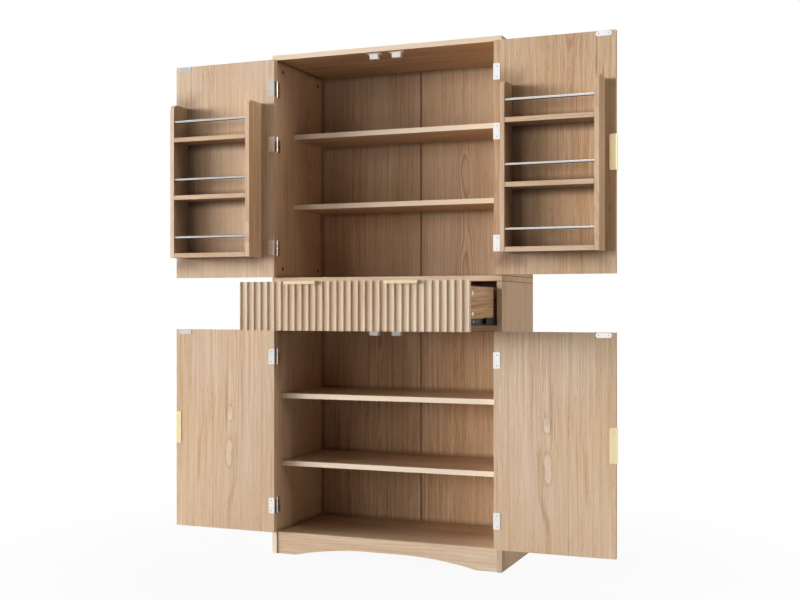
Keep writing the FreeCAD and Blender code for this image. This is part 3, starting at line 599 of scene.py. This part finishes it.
def plating_group():
    """Fine drawn lines along one axis and slow clouds, both from 0 to 1."""
    graph, given, out = node_group(
        "plating",
        {"Place": ("Vector", None), "Lines": ("Vector", along_z)},
        {"Lines": "Float", "Clouds": "Float"},
    )
    stretched = graph.vector("MULTIPLY", given["Place"], given["Lines"])
    lines = graph.node("TexNoise", Vector=stretched, Scale=1.0, Detail=2.0)
    graph.fill(out["Lines"], lines)
    graph.fill(out["Clouds"], graph.noise(given["Place"], (40.0, 40.0, 40.0), 3.0, 0.6))
    return graph.tree


plating = plating_group()


def plated(name, colour, rough, lines=along_z, metallic=1.0, gloss=0.5, gilt=None, under=None):
    """Metal or coated material whose gloss varies with drawn lines and clouds.

    It is gilt where a mask says so, and may have a painted shade: a dark colour on its faces that look
    down.
    """
    material, graph, shader = new_material(name)
    place = graph.node("TexCoord", "Object")
    look = place_group(graph, plating, Place=place, Lines=lines)
    both = graph.math("ADD", look["Lines"], look["Clouds"])
    change = graph.math("SUBTRACT", both, 1.0)
    graph.fill(shader["Roughness"], graph.math("MULTIPLY_ADD", change, rough_change, rough, clamp=True))
    pale = tuple(min(1.0, pale_share * c) for c in colour)
    deep = tuple(deep_share * c for c in colour)
    share = graph.math("MULTIPLY_ADD", change, 0.8, 0.5, clamp=True)
    metal = graph.mix(share, (*deep, 1.0), (*pale, 1.0))
    if gilt is not None:
        metal = graph.mix(gilt(graph, place), metal, (*gold_colour, 1.0))
    # Painted shade: faces that look down are mixed towards the dark underside colour.
    if under is not None:
        up = graph.node("SeparateXYZ", "Z", Vector=graph.node("TexCoord", "Normal"))
        metal = graph.mix(graph.ease(up, underside_shade_from, underside_shade_to), (*under, 1.0), metal)
    graph.fill(shader["Base Color"], metal)
    shader["Specular IOR Level"].default_value = gloss
    bump = graph.node("Bump", Height=look["Lines"], Strength=0.06, Distance=0.0002)
    graph.fill(shader["Normal"], bump)
    shader["Metallic"].default_value = metallic
    return material


print("plating nodes", len(plating.nodes))

# %% [markdown]
# The screws that hold a pull are gilt like it, and since they share a node with plain screws, a mask
# picks them by their place.  The rails of the racks have a painted shade underneath, where they face the
# shelves.  The record says which finish each other piece has, and a few nodes have a finish of their own.

# %% Finishes of the other pieces
door_pull_from = 0.803
drawer_pull_front, drawer_pull_from = -0.30, 0.95


def at_door_pull(graph, place):
    """1 on the screws of a door's pull, which stand farther out than all its other screws."""
    out = graph.math("ABSOLUTE", graph.node("SeparateXYZ", "X", Vector=place))
    return graph.math("GREATER_THAN", out, door_pull_from)


def at_drawer_pull(graph, place):
    """1 on the screws of the drawer's pulls, which are at the front and the top of the drawer."""
    parts = graph.node("SeparateXYZ", Vector=place).node.outputs
    front = graph.math("LESS_THAN", parts["Y"], drawer_pull_front)
    return graph.math("MULTIPLY", front, graph.math("GREATER_THAN", parts["Z"], drawer_pull_from))


gold = plated("satin_gold", gold_colour, 0.34)
nickel = plated("bright_nickel", (0.92, 0.915, 0.91), 0.15)
zinc = plated("zinc_plate", zinc_colour, 0.30)
rail = plated("satin_rail", (0.68, 0.67, 0.66), 0.24, lines=along_x, under=(0.03, 0.028, 0.026))
slide_black = plated("black_slide", (0.014, 0.013, 0.012), 0.42, lines=along_y, metallic=0.0, gloss=0.12)
white_plastic = plated("white_plastic", (0.82, 0.81, 0.79), 0.45, metallic=0.0)
brown_strip = plated("brown_strip", (0.24, 0.14, 0.08), 0.5, metallic=0.0)
brown_cam = plated("brown_cam", (0.16, 0.11, 0.08), 0.45)
inner_black = plated("inner_black", (0.006, 0.006, 0.006), 0.5, lines=along_y, metallic=0.0, gloss=0.08)
metals = {
    "gold_pull": gold,
    "nickel": nickel,
    "zinc_steel": zinc,
    "rail_steel": rail,
    "black_slide": slide_black,
    "white_plastic": white_plastic,
    "brown_plastic": brown_strip,
}
for row in frame["record"]["subparts"]:
    if row["material_slot"] in metals:
        paint(row["node"], metals[row["material_slot"]])
door_screw = plated("door_screw", zinc_colour, 0.30, gilt=at_door_pull)
drawer_screw = plated("drawer_screw", zinc_colour, 0.30, gilt=at_drawer_pull)
special = {f"{tier}_{side}_screws": door_screw for tier in cabinets for side in ("left", "right")}
special.update(drawer_fasteners=drawer_screw, cam_fasteners=brown_cam, slide_middle_members=inner_black)
for node, material in special.items():
    paint(node, material)
print("other finishes", len(metals), "and special ones on", len(special), "nodes")

# %% [markdown]
# The stage is a plain white floor and a white world.  The photograph's background is pure white, so
# camera rays, and rays mirrored by metal, see the world and most of the floor at a strength of 1, while
# the light that falls on the hutch comes from lamps and a much dimmer world.  Mirrored rays see a grey
# screen in one narrow part of the world, so that the flat hinge leaves on the left aren't paper white,
# and they see a little of the real floor.  Close to the hutch the floor shows some of its shadow, and
# further off it fades into white.


# %% White world
def camera_share(graph, mirrored=1.0):
    """1 for rays from the camera or through glass, a given share for mirrored ones, 0 for soft light."""
    path = graph.node("LightPath").node.outputs
    share = graph.math("MULTIPLY", path["Is Glossy Ray"], mirrored)
    share = graph.math("MAXIMUM", share, path["Is Camera Ray"])
    return graph.math("MAXIMUM", share, path["Is Transmission Ray"])


world_light = 0.02
grey_screen = 0.60
grey_screen_at = -149.0
grey_screen_half = 7.0
grey_screen_edge = 3.0
world = bpy.data.worlds.new("white_studio")
bpy.context.scene.world = world
world.use_nodes = True
world_graph = Graph(world.node_tree)
background = next(n for n in world.node_tree.nodes if n.type == "BACKGROUND")
background.inputs["Color"].default_value = (1.0, 1.0, 1.0, 1.0)
seen = camera_share(world_graph)
strength = world_graph.math("MULTIPLY_ADD", seen, 1.0 - world_light, world_light)
toward = world_graph.node("SeparateXYZ", Vector=world_graph.node("TexCoord", "Generated")).node.outputs
bearing = world_graph.math("ARCTAN2", toward["X"], toward["Y"])
off_screen = world_graph.math("SUBTRACT", bearing, math.radians(grey_screen_at))
off_screen = world_graph.math("ABSOLUTE", off_screen)
screen_out = math.radians(grey_screen_half + grey_screen_edge)
screen = world_graph.ease(off_screen, screen_out, math.radians(grey_screen_half))
screen = world_graph.math("MULTIPLY", screen, world_graph.node("LightPath", "Is Glossy Ray"))
screen = world_graph.math("MULTIPLY_ADD", screen, grey_screen - 1.0, 1.0)
strength = world_graph.math("MULTIPLY", strength, screen)
world_graph.fill(background.inputs["Strength"], strength)
print("world light", world_light)

# %% White floor
floor_half = 20.0
floor_shadow = 0.06
floor_in_mirrors = 0.90
floor_grey = (0.30, 0.30, 0.30, 1.0)
floor_fade = (0.6, 1.9)
floor_corners = np.array([[-1, -1, 0], [1, -1, 0], [1, 1, 0], [-1, 1, 0]], float) * floor_half
floor_mesh = bpy.data.meshes.new("floor")
floor_mesh.from_pydata(floor_corners.tolist(), [], [(0, 1, 2, 3)])
floor = bpy.data.objects.new("floor", floor_mesh)
bpy.context.scene.collection.objects.link(floor)
floor_paint = bpy.data.materials.new("white_floor")
floor_paint.use_nodes = True
floor_graph = Graph(floor_paint.node_tree)
floor_shader = next(n for n in floor_paint.node_tree.nodes if n.type == "BSDF_PRINCIPLED")
floor_shader.inputs["Base Color"].default_value = floor_grey
floor_shader.inputs["Roughness"].default_value = 0.9
glow = floor_graph.node("Emission", Color=(1.0, 1.0, 1.0, 1.0), Strength=1.0)
away = floor_graph.vector("LENGTH", floor_graph.node("TexCoord", "Object")).node.outputs["Value"]
faded = floor_graph.ease(away, *floor_fade)
bare = floor_graph.math("MULTIPLY_ADD", faded, floor_shadow, 1.0 - floor_shadow)
shown = floor_graph.math("MULTIPLY", camera_share(floor_graph, floor_in_mirrors), bare)
floor_mix = floor_paint.node_tree.nodes.new("ShaderNodeMixShader")
for socket, value in zip(floor_mix.inputs, (shown, floor_shader.outputs[0], glow)):
    floor_graph.fill(socket, value)
floor_out = next(n for n in floor_paint.node_tree.nodes if n.type == "OUTPUT_MATERIAL")
floor_graph.fill(floor_out.inputs["Surface"], floor_mix.outputs[0])
floor_mesh.materials.append(floor_paint)
print("floor", 2 * floor_half, "m wide")

# %% [markdown]
# The light is soft and comes mostly from the left.  Three far lamps, low and wide, stand for a row of
# windows.  They rake across the flutes, and because they are low, the drawer's shadow falls level to the
# right and not far down the door.  A weak warm lamp fills the front, one above lights the flat boards,
# one on the right lights the faces that the windows miss, and one behind is for views of the back.  Two
# lamps are hidden from mirrors, so that metal doesn't show their images.

# %% Lamps
lamp_aim = np.array([0.0, 0.0, 0.9])
warm_light = (1.0, 0.94, 0.86)
rim_light = (1.0, 0.90, 0.76)
lamps = {
    "left_window": dict(side=50, rise=3, size=(8.0, 4.4), level=0.51, mirrored=False),
    "front_fill": dict(side=22, rise=9, size=(8.0, 8.0), level=0.13, tint=warm_light, mirrored=False),
    "middle_window": dict(side=65, rise=6, size=(8.0, 5.8), level=0.46),
    "far_left_window": dict(side=80, rise=9, size=(9.0, 7.0), level=0.74),
    "top_lamp": dict(side=-15, rise=70, size=(6.0, 6.0), level=0.24, tint=warm_light, away=12.0),
    "right_rim": dict(side=-88, rise=12, size=(8.0, 8.0), level=0.37, tint=rim_light),
    "back_lamp": dict(side=165, rise=40, size=(10.0, 8.0), level=0.65),
}


def add_lamp(name, side, rise, size, level, tint=(1.0, 1.0, 1.0), mirrored=True, away=20.0):
    """Oval lamp, so many degrees to the left and up, that lights a face square to it by the level."""
    data = bpy.data.lights.new(name, "AREA")
    data.shape = "ELLIPSE"
    data.size, data.size_y = size
    data.energy = level * (math.pi * away) ** 2
    data.color = tint
    lamp = bpy.data.objects.new(name, data)
    lamp.visible_glossy = mirrored
    bpy.context.scene.collection.objects.link(lamp)
    side, rise = math.radians(side), math.radians(rise)
    flat = math.cos(rise)
    toward = np.array([-math.sin(side) * flat, -math.cos(side) * flat, math.sin(rise)])
    lamp.location = tuple(lamp_aim + away * toward)
    lamp.rotation_euler = (math.pi / 2 - rise, 0.0, -side)


for name, given in lamps.items():
    add_lamp(name, **given)
bpy.context.scene.view_settings.view_transform = "Standard"
print("lamps", list(lamps))
